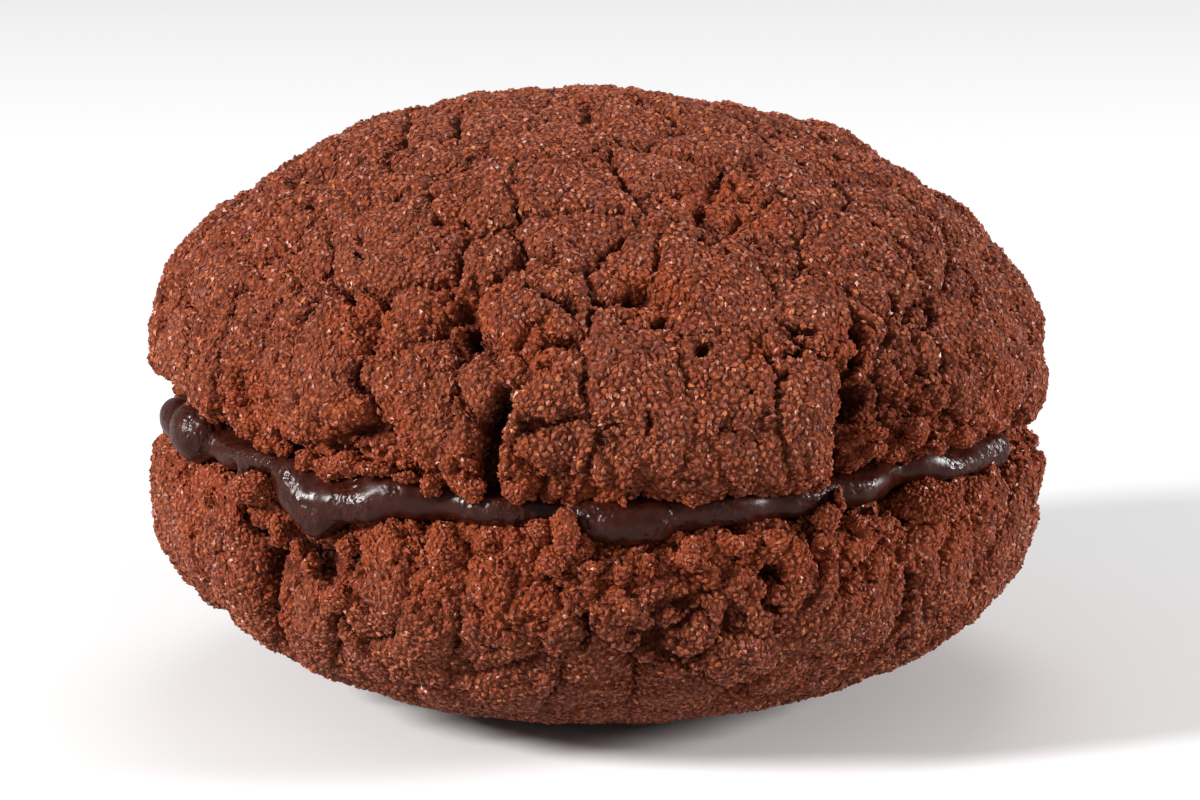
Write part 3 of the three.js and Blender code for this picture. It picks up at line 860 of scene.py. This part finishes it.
def cookie_material(group):
    """The baked crust and crumb under the grains, with painted shade between the grains."""
    material, tree = new_material("cookie_crumb")
    shader = tree.nodes["Principled BSDF"]
    grain = add(tree, "ShaderNodeTexVoronoi", feature="F1")
    grain.inputs["Scale"].default_value = 1 / (0.36 * MM)
    tree.links.new(add(tree, "ShaderNodeTexCoord").outputs["Object"], grain.inputs["Vector"])
    speck = noise_node(tree, 0.25, 3)
    cell_tone = remap(tree, grain.outputs["Color"], 0.1, 0.9)
    body = mix(tree, cell_tone, linear(102, 41, 20), linear(156, 78, 47))
    body = mix(tree, remap(tree, speck, 0.5, 0.72, 0.0, 0.35), body, linear(74, 27, 14))
    body, deep_shade = toned(tree, group, body)
    # Painted shade: the low places between the small grain cells are darkened, as shade falls there.
    gap = remap(tree, grain.outputs["Distance"], 0.4, 0.8, 0.0, 0.75)
    body = mix(tree, gap, body, linear(56, 17, 7))
    tree.links.new(body, shader.inputs["Base Color"])
    tree.links.new(remap(tree, deep_shade, 0.0, 0.5, 0.6, 0.95), shader.inputs["Roughness"])
    shader.inputs["Specular IOR Level"].default_value = 0.12
    grainy = bump(tree, remap(tree, grain.outputs["Distance"], 0.0, 0.75, 1.0, 0.0), 1.0, 0.2)
    tree.links.new(bump(tree, speck, 0.6, 0.06, grainy), shader.inputs["Normal"])
    return material


def grain_material(group):
    """Single grains: baked crumb from dark to light, with a few pale sugar crystals whose light colour
    is partly a painted highlight for warm glints.
    """
    material, tree = new_material("cookie_grain")
    shader = tree.nodes["Principled BSDF"]
    tint = add(tree, "ShaderNodeAttribute", attribute_name="tint").outputs["Fac"]
    body = mix(tree, remap(tree, tint, 0.0, 1.0), linear(102, 40, 19), linear(170, 86, 52))
    # Pale sugar crystals on a few grains; their light colour also stands in for warm glints, a painted
    # highlight.
    body = mix(tree, remap(tree, tint, 0.92, 0.99), body, linear(198, 120, 76))
    body, deep_shade = toned(tree, group, body)
    tree.links.new(body, shader.inputs["Base Color"])
    speck = noise_node(tree, 0.2, 2)
    gloss = remap(tree, tint, 0.0, 1.0, 0.55, 0.36)
    tree.links.new(remap(tree, deep_shade, 0.0, 0.5, gloss, 0.95), shader.inputs["Roughness"])
    shader.inputs["Specular IOR Level"].default_value = 0.38
    shader.inputs["Sheen Weight"].default_value = 0.04
    tree.links.new(bump(tree, speck, 0.3, 0.03), shader.inputs["Normal"])
    return material


def cream_material():
    """Dark, glossy chocolate cream with a finely wrinkled skin in places."""
    material, tree = new_material("chocolate_cream")
    shader = tree.nodes["Principled BSDF"]
    streak = noise_node(tree, 0.8, 6)
    body = mix(tree, remap(tree, streak, 0.35, 0.65), linear(50, 18, 11), linear(61, 24, 15))
    tree.links.new(body, shader.inputs["Base Color"])
    tree.links.new(remap(tree, streak, 0.35, 0.65, 0.22, 0.34), shader.inputs["Roughness"])
    shader.inputs["Specular IOR Level"].default_value = 0.26
    skin = remap(tree, noise_node(tree, 3.5, 1), 0.42, 0.54)
    wrinkles = mix(tree, skin, (0.5, 0.5, 0.5, 1), noise_node(tree, 0.5, 1))
    soft = bump(tree, streak, 0.5, 0.12)
    tree.links.new(bump(tree, wrinkles, 1.0, 0.22, soft), shader.inputs["Normal"])
    return material


# ---------------------------------------------------------------- studio

def floor():
    """The pale table that the cookie stands on."""
    bm = bmesh.new()
    bmesh.ops.create_grid(bm, x_segments=1, y_segments=1, size=FLOOR_SIZE)
    mesh = bpy.data.meshes.new("floor")
    bm.to_mesh(mesh)
    bm.free()
    material, tree = new_material("floor")
    shader = tree.nodes["Principled BSDF"]
    seen = add(tree, "ShaderNodeLightPath").outputs["Is Camera Ray"]
    pale = mix(tree, seen, (FLOOR_BOUNCE,) * 3 + (1,), (FLOOR_SEEN,) * 3 + (1,))
    tree.links.new(pale, shader.inputs["Base Color"])
    shader.inputs["Roughness"].default_value = 0.9
    shader.inputs["Specular IOR Level"].default_value = 0.1
    mesh.materials.append(material)
    piece = bpy.data.objects.new("floor", mesh)
    bpy.context.scene.collection.objects.link(piece)


def soft_light(name, place, size, power):
    """A round lamp that shines at the cookie."""
    lamp = bpy.data.lights.new(name, "AREA")
    lamp.shape = "DISK"
    lamp.size = size
    lamp.energy = power
    holder = bpy.data.objects.new(name, lamp)
    holder.location = place
    aim = Vector(LIT_PLACE) - Vector(place)
    holder.rotation_euler = aim.to_track_quat("-Z", "Y").to_euler()
    bpy.context.scene.collection.objects.link(holder)


def studio():
    """The lamps and an even white sky."""
    for name, place, size, power in LAMPS:
        soft_light(name, place, size, power)
    world = bpy.data.worlds.new("studio")
    world.use_nodes = True
    sky = world.node_tree.nodes["Background"]
    sky.inputs["Color"].default_value = (1, 1, 1, 1)
    sky.inputs["Strength"].default_value = SKY_STRENGTH
    bpy.context.scene.world = world
    bpy.context.scene.view_settings.view_transform = "Standard"


def camera():
    """Looks at the cookie's middle from the front and a little from above."""
    elevation = math.radians(CAMERA_ELEVATION)
    away = Vector((0, -math.cos(elevation), math.sin(elevation)))
    data = bpy.data.cameras.new("camera")
    data.lens = CAMERA_LENS
    data.clip_start = 0.01
    holder = bpy.data.objects.new("camera", data)
    holder.location = Vector(CAMERA_TARGET) + away * CAMERA_DISTANCE
    holder.rotation_euler = (math.pi / 2 - elevation, 0, 0)
    bpy.context.scene.collection.objects.link(holder)
    bpy.context.scene.camera = holder


camera()
studio()
floor()
TONE = tone_group()
CRUMB = cookie_material(TONE)
GRAIN = grain_material(TONE)
for kind, cookie in (("top", TOP), ("bottom", BOTTOM)):
    crust = cookie_piece(kind + "_cookie", cookie, CRUMB)
    grain_piece(kind + "_fine_grains", crust, GRAIN, FINE_GRAINS)
    grain_piece(kind + "_coarse_grains", crust, GRAIN, COARSE_GRAINS)
crumbs = crumb_piece(CRUMB)
grain_piece("crumb_grains", crumbs, GRAIN, CRUMB_GRAINS)
cream_piece(cream_material())
